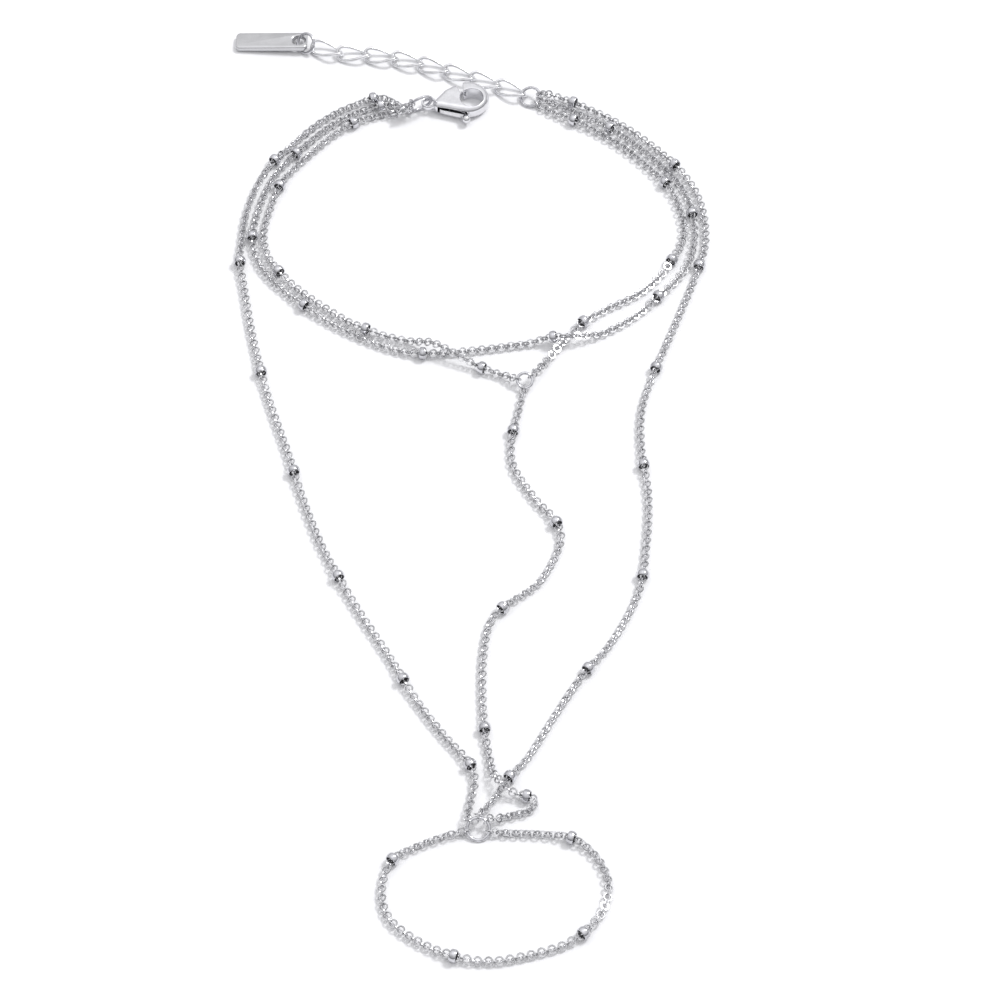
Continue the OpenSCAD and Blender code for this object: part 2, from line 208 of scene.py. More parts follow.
def round_edges(
    obj: bpy.types.Object, width: float, segments: int, sharp: float = SHARP_EDGE
) -> None:
    """Round the sharp edges of an object.

    Args:
        obj: The object.
        width: How far from the edge the rounding starts.
        segments: Number of facets across the rounding.
        sharp: Angle in degrees past which an edge is sharp.
    """
    limit = math.radians(sharp)
    apply_modifier(
        obj, "BEVEL", width=width, segments=segments, limit_method="ANGLE", angle_limit=limit
    )


def cut(obj: bpy.types.Object, cutter: bpy.types.Object) -> None:
    """Take a cutter's volume away from an object and drop the cutter."""
    apply_modifier(obj, "BOOLEAN", operation="DIFFERENCE", solver="EXACT", object=cutter)
    bpy.data.objects.remove(cutter, do_unlink=True)


def join(objects: Sequence[bpy.types.Object]) -> bpy.types.Object:
    """Join objects into the first of them.

    Args:
        objects: The objects, which are used up but for the first.

    Returns:
        The first object, with the meshes of all.
    """
    only(objects[0])
    for other in objects[1:]:
        other.select_set(True)
    bpy.ops.object.join()
    return objects[0]


def disc_hull(
    discs: Iterable[Disc], low: float, high: float, sides: int = 48, straight: float = 0.5
) -> bpy.types.Object:
    """Model a level plate with the outline of a band drawn tightly round discs.

    Args:
        discs: Place and radius of each disc.
        low: Height of the underside.
        high: Height of the top.
        sides: Corners round each disc.
        straight: Bend in degrees under which edges of the outline become one.

    Returns:
        A closed mesh object.
    """
    rims = []
    for x, y, radius in discs:
        deselect_all()
        bpy.ops.mesh.primitive_circle_add(vertices=sides, radius=radius, location=(x, y, low))
        rims.append(settle())
    plate = join(rims)
    edit(plate, Part.VERTEX)
    bpy.ops.mesh.convex_hull()
    bpy.ops.mesh.dissolve_limited(angle_limit=math.radians(straight))
    leave_edit()
    edit(plate, Part.FACE)
    bpy.ops.mesh.extrude_region_move(TRANSFORM_OT_translate={"value": (0, 0, high - low)})
    bpy.ops.mesh.select_all(action="SELECT")
    bpy.ops.mesh.normals_make_consistent(inside=False)
    leave_edit()
    return plate


def repeat(template: bpy.types.Object, places: Sequence[Matrix]) -> bpy.types.Object:
    """Set a copy of a template down at each place and join the copies.

    Args:
        template: A mesh object modelled in millimetres about its own origin. It is used up.
        places: Where the copies go, in the layout.

    Returns:
        One object at the origin of the part, in metres.
    """
    copies = []
    for place in places:
        copy = bpy.data.objects.new(template.name, template.data.copy())
        copy.data.transform(TO_PART @ place)
        bpy.context.collection.objects.link(copy)
        copies.append(copy)
    bpy.data.objects.remove(template, do_unlink=True)
    return join(copies)


# Finishes


def linear(colour: str) -> tuple[float, float, float, float]:
    """Turn an sRGB hex colour into the linear one that a shader takes.

    Args:
        colour: The colour, such as #C0C0C4.

    Returns:
        Red, green, blue and a full alpha.
    """
    parts = [int(colour[i : i + 2], 16) / 255 for i in (1, 3, 5)]
    bent = [p / 12.92 if p <= 0.04045 else ((p + 0.055) / 1.055) ** 2.4 for p in parts]
    return (bent[0], bent[1], bent[2], 1.0)


def add_node(
    tree: bpy.types.NodeTree, kind: str, inputs: dict[str, object] | None = None, **settings: object
) -> bpy.types.Node:
    """Add a node to a tree.

    Args:
        tree: The tree of a material or of the world.
        kind: Blender's name for the node.
        inputs: What goes into its sockets, a value or another node's output socket.
        **settings: The node's own settings.

    Returns:
        The new node.
    """
    node = tree.nodes.new(kind)
    for name, value in settings.items():
        setattr(node, name, value)
    for name, value in (inputs or {}).items():
        if isinstance(value, bpy.types.NodeSocket):
            tree.links.new(value, node.inputs[name])
        else:
            node.inputs[name].default_value = value
    return node


def paint_ramp(ramp: bpy.types.ColorRamp, stops: Stops) -> None:
    """Give a new colour ramp its colours.

    Args:
        ramp: The ramp, with its first two elements.
        stops: Position and colour of each stop, in order.
    """
    for element, (position, colour) in zip(ramp.elements, (stops[0], stops[-1])):
        element.position = position
        element.color = linear(colour)
    for position, colour in stops[1:-1]:
        ramp.elements.new(position).color = linear(colour)


@dataclass(frozen=True)
class SteelFinish:
    """Polished stainless steel, with the marks of the way it was made.

    Attributes:
        name: Name of the material.
        dark: Colour where the polish is dulled.
        light: Colour where the polish is full.
        smooth: Roughness where the polish is full.
        rough: Roughness where it is dulled.
        mottle_mm: Size of the patches of fuller and duller polish.
        mark_mm: Size of the fine marks in the surface.
        depth_mm: Depth of those marks.
        stretch: How many times longer the marks are along the part's X axis.
        dull_at: Height of the mottle at which the polish is dulled.
        full_at: Height of the mottle at which the colour is light.
        smooth_at: Height of the mottle and marks together at which it is smoothest.
    """

    name: str
    dark: str
    light: str
    smooth: float
    rough: float
    mottle_mm: float
    mark_mm: float
    depth_mm: float
    stretch: float = 1.0
    dull_at: float = 0.34
    full_at: float = 0.62
    smooth_at: float = 0.64

    def material(self) -> bpy.types.Material:
        """Return the finish as a material, which is made on the first call.

        Returns:
            The material.
        """
        known = bpy.data.materials.get(self.name)
        if known:
            return known
        steel = bpy.data.materials.new(self.name)
        steel.use_nodes = True
        tree = steel.node_tree
        shader = tree.nodes["Principled BSDF"]
        shader.inputs["Metallic"].default_value = 1.0
        place = add_node(tree, "ShaderNodeTexCoord").outputs["Object"]
        mottle = add_node(
            tree,
            "ShaderNodeTexNoise",
            {"Vector": place, "Scale": 1 / (self.mottle_mm * MM), "Detail": 3.0, "Roughness": 0.6},
        )
        tint = add_node(tree, "ShaderNodeValToRGB", {"Fac": mottle.outputs["Fac"]})
        paint_ramp(tint.color_ramp, ((self.dull_at, self.dark), (self.full_at, self.light)))
        tree.links.new(tint.outputs["Color"], shader.inputs["Base Color"])
        drawn = add_node(
            tree, "ShaderNodeMapping", {"Vector": place, "Scale": (1 / self.stretch, 1.0, 1.0)}
        )
        marks = add_node(
            tree,
            "ShaderNodeTexNoise",
            {
                "Vector": drawn.outputs["Vector"],
                "Scale": 1 / (self.mark_mm * MM),
                "Detail": 2.0,
                "Roughness": 0.55,
            },
        )
        worn = add_node(
            tree,
            "ShaderNodeMix",
            {"Factor": 0.5, "A": mottle.outputs["Fac"], "B": marks.outputs["Fac"]},
        )
        polish = add_node(
            tree,
            "ShaderNodeMapRange",
            {
                "Value": worn.outputs["Result"],
                "From Min": self.dull_at,
                "From Max": self.smooth_at,
                "To Min": self.rough,
                "To Max": self.smooth,
            },
        )
        tree.links.new(polish.outputs["Result"], shader.inputs["Roughness"])
        relief = add_node(
            tree,
            "ShaderNodeBump",
            {"Height": marks.outputs["Fac"], "Strength": 1.0, "Distance": self.depth_mm * MM},
        )
        tree.links.new(relief.outputs["Normal"], shader.inputs["Normal"])
        return steel


# The marks of tumbling and grinding are finer on real steel. They are drawn at 0.035 mm and
# more, so that they soften the reflections here too.

# Soft-drawn stainless wire, closed link by link and tumbled: fine glints with grey between
LINK_STEEL = SteelFinish("tumbled_link_wire", "#B6B6B8", "#DEDEE0", 0.1, 0.24, 0.7, 0.06, 0.0012)
# Hollow stainless bead, formed from tube and polished to a mirror: hard white highlights
BEAD_STEEL = SteelFinish("mirror_bead_tube", "#B8B8BC", "#DADADE", 0.04, 0.1, 0.6, 0.05, 0.0005)
# Inside of the hollow bead, where no polish reaches and the forming shows: dull, and its dark
# colour is painted shade for the shade that falls inside the bore
BORE_PAINTED_SHADE = SteelFinish("painted_shade_bead_bore", "#525254", "#6C6C6E", 0.5, 0.7, 0.6, 0.05, 0.001)
# Jump ring wire, drawn hard and tumbled: a clean bright line along the wire
RING_STEEL = SteelFinish("drawn_ring_wire", "#BABABE", "#DCDCE0", 0.08, 0.2, 0.8, 0.06, 0.001)
# Heavier wire of the twisted links, tumbled longer: pale and soft
TWIST_STEEL = SteelFinish(
    "tumbled_twist_wire", "#DADADC", "#F0F0F2", 0.1, 0.22, 1.0, 0.07, 0.0012
)
# Rolled strip of the tag, brushed along its length: an even grey with long faint streaks
TAG_STEEL = SteelFinish(
    "brushed_tag_strip", "#C6C6C8", "#CECED0", 0.2, 0.26, 1.6, 0.035, 0.0004, 14.0
)
# Cast stainless of the clasp, ground and satin polished: pale, with blurred reflections
CLASP_STEEL = SteelFinish(
    "satin_clasp_casting", "#DCDCDF", "#E8E8EB", 0.13, 0.2, 1.4, 0.09, 0.0005
)
# Punched lever of the clasp, polished on its edges by the finger: brighter than the casting
LEVER_STEEL = SteelFinish(
    "polished_lever_plate", "#D2D2D4", "#E8E8EA", 0.1, 0.18, 0.9, 0.07, 0.0005
)


def hand_over(
    obj: bpy.types.Object,
    name: str,
    node: str,
    finish: SteelFinish,
    body: Body = Body.CHAIN,
) -> None:
    """Dress a finished piece and hand it to the frame.

    Args:
        obj: The piece, in metres, with its object at the origin.
        name: Name of the piece.
        node: Solid of the frame that the piece stands for.
        finish: Finish of a piece that has none yet.
        body: Body that the piece moves with.
    """
    obj.name = name
    obj.data.name = name
    if not obj.data.materials:
        obj.data.materials.append(finish.material())
    only(obj)
    bpy.ops.object.shade_smooth_by_angle(angle=math.radians(SMOOTH_BELOW))
    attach(obj, body.value)
    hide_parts(node)
    log.info("%s: %d faces", name, len(obj.data.polygons))


# Lines that the strands follow


def bend(a: Vector, b: Vector, c: Vector, d: Vector, t: float) -> Vector:
    """Return the point a share t of the way from b to c on the smooth curve through them."""
    return 0.5 * (
        2 * b
        + (c - a) * t
        + (2 * a - 5 * b + 4 * c - d) * t**2
        + (3 * b - a - 3 * c + d) * t**3
    )


def smooth_line(points: Sequence[Vector], steps: int = 8) -> list[Vector]:
    """Draw a smooth curve through points.

    Args:
        points: The points, in order.
        steps: Number of pieces between two of them.

    Returns:
        Points of the curve.
    """
    last = len(points) - 1
    line = [
        bend(points[max(i - 1, 0)], points[i], points[i + 1], points[min(i + 2, last)], j / steps)
        for i in range(last)
        for j in range(steps)
    ]
    return [*line, points[last]]


@dataclass
class Track:
    """Line of a strand, measured along its length in millimetres.

    Attributes:
        points: Points that the strand passes through.
        beads: Distance of each bead from the first end.
        low: Height of the strand's centre where it lies flat.
        bead_centre: Height of the centre of a bead that rests on the surface.
        rise_reach: Length over which the strand rises into a bead.
        sight: How far before and behind a point its direction is taken from.
    """

    points: list[Vector]
    beads: tuple[float, ...]
    low: float
    bead_centre: float = 0.8
    rise_reach: float = 2.5
    sight: float = 0.3
    line: list[Vector] = field(init=False)
    runs: list[float] = field(init=False)

    def __post_init__(self) -> None:
        """Draw the curve and measure along it."""
        self.line = smooth_line(self.points)
        self.runs = [0.0]
        for before, after in zip(self.line, self.line[1:]):
            self.runs.append(self.runs[-1] + (after - before).length)

    @property
    def length(self) -> float:
        """Length of the line."""
        return self.runs[-1]

    def place(self, distance: float) -> Vector:
        """Find the strand's centre at a distance along it, raised where a bead is near.

        Args:
            distance: Distance from the first end.

        Returns:
            The point.
        """
        distance = min(max(distance, 0.0), self.length)
        i = min(max(bisect.bisect_right(self.runs, distance), 1), len(self.runs) - 1)
        share = (distance - self.runs[i - 1]) / (self.runs[i] - self.runs[i - 1])
        point = self.line[i - 1].lerp(self.line[i], share)
        gaps = [abs(distance - bead) / self.rise_reach for bead in self.beads]
        near = max(0.0, *(1 - min(1.0, gap) ** 2 for gap in gaps))
        point.z = max(point.z, self.low + (self.bead_centre - self.low) * near)
        return point

    def heading(self, distance: float) -> Vector:
        """Return the direction of the strand at a distance along it."""
        return (self.place(distance + self.sight) - self.place(distance - self.sight)).normalized()


@dataclass
class JumpRing:
    """Ring of round wire that gathers strands, with its closed cut.

    Attributes:
        name: Name of its solid.
        x: Place of its centre.
        y: Place of its centre.
        z: Height of its centre.
        tilt: Turn about X from lying flat.
        outside: Outside diameter.
        cut_at: Angle round the ring of the closed cut.
        wire: Diameter of its wire.
        turn: Turn about Z of the tilted ring.
        sides: Corners round the ring.
        wire_sides: Corners round its wire.
    """

    name: str
    x: float
    y: float
    z: float
    tilt: float
    outside: float
    cut_at: float
    wire: float = 0.4
    turn: float = 0.0
    sides: int = 96
    wire_sides: int = 14

    @property
    def reach(self) -> float:
        """Radius of the wire's centre line."""
        return (self.outside - self.wire) / 2

    def seat(self, angle: float = 0.0) -> Matrix:
        """Return the ring's place, with X turned to an angle round it."""
        tilted = turned("Z", self.turn) @ turned("X", self.tilt)
        return moved(self.x, self.y, self.z) @ tilted @ turned("Z", angle)

    def point(self, angle: float, out: float = 0.0) -> Vector:
        """Return a point round the ring, further out than its wire's centre."""
        return self.seat(angle) @ Vector((self.reach + out, 0.0, 0.0))

    def build(self) -> bpy.types.Object:
        """Model the ring with a hairline gap where the wire's ends meet.

        Returns:
            The ring, in metres at its place.
        """
        deselect_all()
        bpy.ops.mesh.primitive_torus_add(
            major_segments=self.sides,
            minor_segments=self.wire_sides,
            major_radius=self.reach,
            minor_radius=self.wire / 2,
        )
        ring = bpy.context.object
        half = math.pi / self.sides
        edit(ring, Part.FACE, lambda p: p.x > 0 and abs(math.atan2(p.y, p.x) - half) < half)
        bpy.ops.mesh.delete(type="FACE")
        bpy.ops.mesh.select_all(action="SELECT")
        bpy.ops.mesh.fill_holes(sides=0)
        leave_edit()
        return repeat(ring, [self.seat(self.cut_at)])

    def dress(self) -> None:
        """Build the ring and hand it over."""
        hand_over(self.build(), f"{self.name}_wire", self.name, RING_STEEL)


@dataclass(frozen=True)
class StrandEnd:
    """End of a strand: the ring that it hangs on, and where round it."""

    ring: JumpRing
    angle: float


@dataclass
class CableLink:
    """Link of the fine cable chain, nearly round.

    Attributes:
        length: Length over the wire.
        width: Width over the wire.
        wire: Diameter of the wire.
        pitch: Length of strand that each link makes.
        sides: Corners round the link.
        wire_sides: Corners round its wire.
    """

    length: float = 1.12
    width: float = 1.16
    wire: float = 0.22
    pitch: float = 0.615
    sides: int = 12
    wire_sides: int = 6

    def template(self) -> bpy.types.Object:
        """Model one link about the origin, lying flat with its length along X.

        Returns:
            The link, in millimetres.
        """
        deselect_all()
        bpy.ops.mesh.primitive_torus_add(
            major_segments=self.sides,
            minor_segments=self.wire_sides,
            major_radius=(self.width - self.wire) / 2,
            minor_radius=self.wire / 2,
        )
        link = bpy.context.object
        edit(link, Part.VERTEX)
        bpy.ops.transform.resize(
            value=(self.length / self.width, 1.0, 1.0), center_override=(0.0, 0.0, 0.0)
        )
        leave_edit()
        return link


@dataclass
class StationBead:
    """Hollow bead of thin polished tube, swelled in the middle and open at its ends.

    Attributes:
        outside: Largest diameter.
        mouth: Outside diameter of its ends.
        length: Length along the strand.
        wall: Thickness of its wall.
        sides: Corners round the bead.
        rows: Rows of facets from its middle to either end.
        swell: How late the bead narrows from its middle to its ends.
        rim: Width of the rounding of its two rims.
        rim_angle: Angle in degrees past which the rims count as sharp.
    """

    outside: float = 1.6
    mouth: float = 1.38
    length: float = 0.84
    wall: float = 0.11
    sides: int = 24
    rows: int = 3
    swell: float = 2.4
    rim: float = 0.045
    rim_angle: float = 50.0

    def template(self) -> bpy.types.Object:
        """Model one bead about the origin, with its bore along X.

        Returns:
            The bead, in millimetres, with its polished finish outside and painted shade inside its
            bore.
        """
        deselect_all()
        bpy.ops.mesh.primitive_cylinder_add(
            vertices=self.sides,
            radius=self.outside / 2,
            depth=self.length,
            end_fill_type="NOTHING",
            rotation=(0.0, math.pi / 2, 0.0),
        )
        bead = settle()
        edit(bead, Part.EDGE, lambda p: abs(p.x) < TOUCH)
        bpy.ops.mesh.subdivide(number_cuts=2 * self.rows - 1)
        leave_edit()
        for row in range(-self.rows, self.rows + 1):
            at = row * self.length / (2 * self.rows)
            narrow = 1 - (1 - self.mouth / self.outside) * (abs(row) / self.rows) ** self.swell
            edit(bead, Part.VERTEX, lambda p, at=at: abs(p.x - at) < TOUCH)
            bpy.ops.transform.resize(value=(1.0, narrow, narrow), center_override=(at, 0.0, 0.0))
            leave_edit()
        # The inner shell takes the second finish, dark as painted shade inside the bore
        for finish in (BEAD_STEEL, BORE_PAINTED_SHADE):
            bead.data.materials.append(finish.material())
        apply_modifier(
            bead,
            "SOLIDIFY",
            thickness=self.wall,
            offset=-1.0,
            use_even_offset=True,
            material_offset=1,
        )
        round_edges(bead, self.rim, 3, self.rim_angle)
        return bead


@dataclass
class Strand:
    """Strand of cable chain with station beads, from one ring to another.

    Attributes:
        name: First part of the names of its two solids.
        route: Points that it passes between its ends: x, y and, where it is raised, height.
        first: Ring end that it starts at.
        last: Ring end that it stops at.
        beads: Distance of each bead from the first end.
        seed: Seed of the small looseness of its links.
        low: Height of a link's centre where the strand lies flat.
        lean: Tilt of every other link from lying flat, in degrees.
        ends_out: Distance from a ring's wire centre to the first end of the line.
        hook_out: Distance from a ring's wire centre to the middle of the link hooked on it.
        suit: Number of links over which the roll of the chain comes to suit a ring.
        sway: Slow change of the lean along the strand, in degrees.
        sway_length: Length over which that change turns by one radian.
        loose_roll: Chance roll of a link, in degrees.
        loose_nod: Chance turn of a link to the side, as a slope.
        link: The cable link that it is made of.
        bead: The bead that is threaded on it.
    """

    name: str
    route: Sequence[RoutePoint]
    first: StrandEnd
    last: StrandEnd
    beads: tuple[float, ...]
    seed: int
    low: float = 0.565
    lean: float = 22.0
    ends_out: float = 0.45
    hook_out: float = 0.03
    suit: int = 6
    sway: float = 6.0
    sway_length: float = 9.0
    loose_roll: float = 4.0
    loose_nod: float = 0.05
    link: CableLink = field(default_factory=CableLink)
    bead: StationBead = field(default_factory=StationBead)
    track: Track = field(init=False)

    def __post_init__(self) -> None:
        """Lay the strand's line between its two rings."""
        middle = [Vector((p[0], p[1], p[2] if len(p) > 2 else self.low)) for p in self.route]
        ends = [end.ring.point(end.angle, self.ends_out) for end in (self.first, self.last)]
        self.track = Track([ends[0], *middle, ends[1]], self.beads, self.low)

    def end_link(self, end: StrandEnd) -> Matrix:
        """Return the place of the link that hooks round a ring's wire."""
        seat = end.ring.seat(end.angle).to_3x3()
        return axes(end.ring.point(end.angle, self.hook_out), seat.col[0], seat.col[1])

    def roll_of(self, end: StrandEnd, distance: float) -> float:
        """Find how far the link on a ring is rolled round the strand.

        Args:
            end: The strand's end there.
            distance: Distance of that end along the strand.

        Returns:
            The roll in degrees.
        """
        ahead = self.track.heading(distance)
        side = ahead.cross(UP).normalized()
        normal = end.ring.seat(end.angle).to_3x3().col[1]
        return math.degrees(math.atan2(normal.dot(side), normal.dot(side.cross(ahead))))

    def link_places(self) -> list[Matrix]:
        """Place every link, each rolled a quarter turn from the one before.

        Away from the rings one link lies nearly flat and the next stands nearly upright,
        by turns, and towards a ring they roll to suit it.

        Returns:
            The places, from the first end to the last.
        """
        shake = random.Random(self.seed)
        lead = self.ends_out - self.hook_out
        count = round((self.track.length + 2 * lead) / self.link.pitch)
        pitch = (self.track.length + 2 * lead) / count
        offs = []
        for k, end, distance in ((0, self.first, 0.0), (count, self.last, self.track.length)):
            off = (self.roll_of(end, distance) - self.lean - 90 * k) % 180
            offs.append(off - 180 if off > 90 else off)
        places = [self.end_link(self.first)]
        for k in range(1, count):
            distance = pitch * k - lead
            ahead = self.track.heading(distance)
            side = ahead.cross(UP).normalized()
            over = side.cross(ahead)
            fade = [max(0.0, 1 - steps / self.suit) ** 2 for steps in (k, count - k)]
            lean = self.lean + self.sway * math.sin(distance / self.sway_length + self.seed)
            loose = shake.uniform(-self.loose_roll, self.loose_roll)
            roll = math.radians(lean + 90 * k + offs[0] * fade[0] + offs[1] * fade[1] + loose)
            normal = math.cos(roll) * over + math.sin(roll) * side
            nod = shake.uniform(-self.loose_nod, self.loose_nod)
            places.append(axes(self.track.place(distance), ahead + nod * side, normal))
        return [*places, self.end_link(self.last)]

    def bead_places(self) -> list[Matrix]:
        """Return the place of every bead."""
        return [axes(self.track.place(b), self.track.heading(b), UP) for b in self.beads]

    def dress(self) -> None:
        """Build the links and the beads and hand them over."""
        links = repeat(self.link.template(), self.link_places())
        hand_over(links, f"{self.name}_links", f"{self.name}_strand", LINK_STEEL)
        beads = repeat(self.bead.template(), self.bead_places())
        hand_over(beads, f"{self.name}_stations", f"{self.name}_beads", BEAD_STEEL)


@dataclass
class TwistedExtender:
    """Run of oval wire links, each twisted a quarter turn so that its neighbours lie alike.

    Attributes:
        start: Ring that the first link hangs on.
        count: Number of links.
        length: Length of a link over its wire.
        width: Width of a link over its wire.
        wire: Diameter of the wire.
        half_twist: Turn of a link from its middle to either end.
        fullness: How full the corners of the oval are, 1 for an ellipse.
        headings: Direction of each link, and at last towards the tag's ring.
        play: Play between two links.
        ring_play: Play between a link and the ring that it hangs on.
    """

    start: JumpRing
    count: int = 8
    length: float = 4.8
    width: float = 2.5
    wire: float = 0.45
    half_twist: float = 45.0
    fullness: float = 1.22
    headings: tuple[float, ...] = (155.0, 158.5, 159.0, 159.0, 164.0, 170.5, 176.0, 160.0, 165.0)
    play: float = 0.24
    ring_play: float = 0.2

    @property
    def half_length(self) -> float:
        """Half the length of the wire's centre line."""
        return (self.length - self.wire) / 2

    @property
    def half_width(self) -> float:
        """Half the width of the wire's centre line."""
        return (self.width - self.wire) / 2

    def direction(self, k: int) -> Vector:
        """Return the direction of a link."""
        angle = math.radians(self.headings[k])
        return Vector((math.cos(angle), math.sin(angle), 0.0))

    def middle(self, k: int) -> Vector:
        """Find the middle of a link, on the surface.

        Args:
            k: Number of the link, from 0 at the ring.

        Returns:
            The point.
        """
        ring = self.start
        first = ring.reach - (ring.wire + self.wire) / 2 - self.ring_play + self.half_length
        pitch = 2 * self.half_length - self.wire - self.play
        place = Vector((ring.x, ring.y, 0.0)) + first * self.direction(0)
        for i in range(1, k + 1):
            place += pitch / 2 * (self.direction(i - 1) + self.direction(i))
        return place

    def template(self) -> bpy.types.Object:
        """Model one twisted link about the origin, with its length along X.

        Returns:
            The link, in millimetres.
        """
        deselect_all()
        bpy.ops.curve.primitive_bezier_circle_add(radius=1.0)
        link = bpy.context.object
        bpy.ops.object.mode_set(mode="EDIT")
        bpy.ops.curve.select_all(action="SELECT")
        bpy.ops.transform.resize(value=(self.half_length, self.half_width, 1.0))
        bpy.ops.curve.handle_type_set(type="ALIGNED")
        bpy.ops.object.mode_set(mode="OBJECT")
        for knot in link.data.splines[0].bezier_points:
            knot.handle_left = knot.co + self.fullness * (knot.handle_left - knot.co)
            knot.handle_right = knot.co + self.fullness * (knot.handle_right - knot.co)
        link.data.dimensions = "3D"
        link.data.resolution_u = 14
        link.data.bevel_depth = self.wire / 2
        link.data.bevel_resolution = 4
        bpy.ops.object.convert(target="MESH")
        link = bpy.context.object
        reach = self.half_length + self.wire / 2
        apply_modifier(
            link,
            "SIMPLE_DEFORM",
            deform_method="TWIST",
            deform_axis="X",
            angle=math.radians(-2 * self.half_twist) * reach / self.half_length,
        )
        edit(link, Part.VERTEX)
        bpy.ops.mesh.remove_doubles(threshold=MERGE)
        bpy.ops.mesh.normals_make_consistent(inside=False)
        leave_edit()
        return link

    def dress(self) -> None:
        """Build the links and hand them over, one piece for each solid."""
        pattern = self.template()
        height = -min(vertex.co.z for vertex in pattern.data.vertices)
        for k in range(self.count):
            link = bpy.data.objects.new("link", pattern.data.copy())
            bpy.context.collection.objects.link(link)
            place = self.middle(k)
            link = repeat(link, [moved(place.x, place.y, height) @ turned("Z", self.headings[k])])
            name = f"extender_link_{k + 1}"
            hand_over(link, f"twisted_wire_{k + 1}", name, TWIST_STEEL)
        bpy.data.objects.remove(pattern, do_unlink=True)


@dataclass
class BareTag:
    """Oblong tag of rolled strip with rounded edges, its end lifted by its ring.

    Attributes:
        hole_x: Place of the hole's centre.
        hole_y: Place of the hole's centre.
        length: Length of the tag.
        width: Width of the tag.
        thick: Thickness of the tag.
        hole: Diameter of the hole.
        hole_in: Distance from the hole's centre to the tag's end.
        corner: Radius of the corners seen from above.
        edge: Radius of the rims.
        slope: Slope of the tag in degrees.
        turn: Turn of the long axis from X.
    """

    hole_x: float
    hole_y: float
    length: float = 9.6
    width: float = 2.8
    thick: float = 0.8
    hole: float = 1.6
    hole_in: float = 1.2
    corner: float = 0.6
    edge: float = 0.2
    slope: float = 3.4
    turn: float = -2.7

    def build(self) -> bpy.types.Object:
        """Model the tag, from a block with its corners and rims rounded and the hole drilled.

        Returns:
            The tag, in metres at its place.
        """
        deselect_all()
        bpy.ops.mesh.primitive_cube_add(size=1.0, location=(self.length / 2, 0, self.thick / 2))
        bpy.context.object.scale = (self.length, self.width, self.thick)
        tag = settle()
        edit(tag, Part.EDGE, lambda p: abs(p.z - self.thick / 2) < TOUCH)
        bpy.ops.mesh.bevel(offset=self.corner, segments=8)
        leave_edit()
        hole_middle = (self.length - self.hole_in, 0, self.thick / 2)
        cut(tag, rod(self.hole / 2, 3 * self.thick, hole_middle, 40))
        round_edges(tag, self.edge, 4)
        place = moved(self.hole_x, self.hole_y) @ turned("Z", self.turn)
        lying = moved(self.hole_in - self.length, 0) @ turned("Y", -self.slope)
        return repeat(tag, [place @ lying])

    def dress(self) -> None:
        """Build the tag and hand it over."""
        hand_over(self.build(), "tag_strip", "tag", TAG_STEEL)


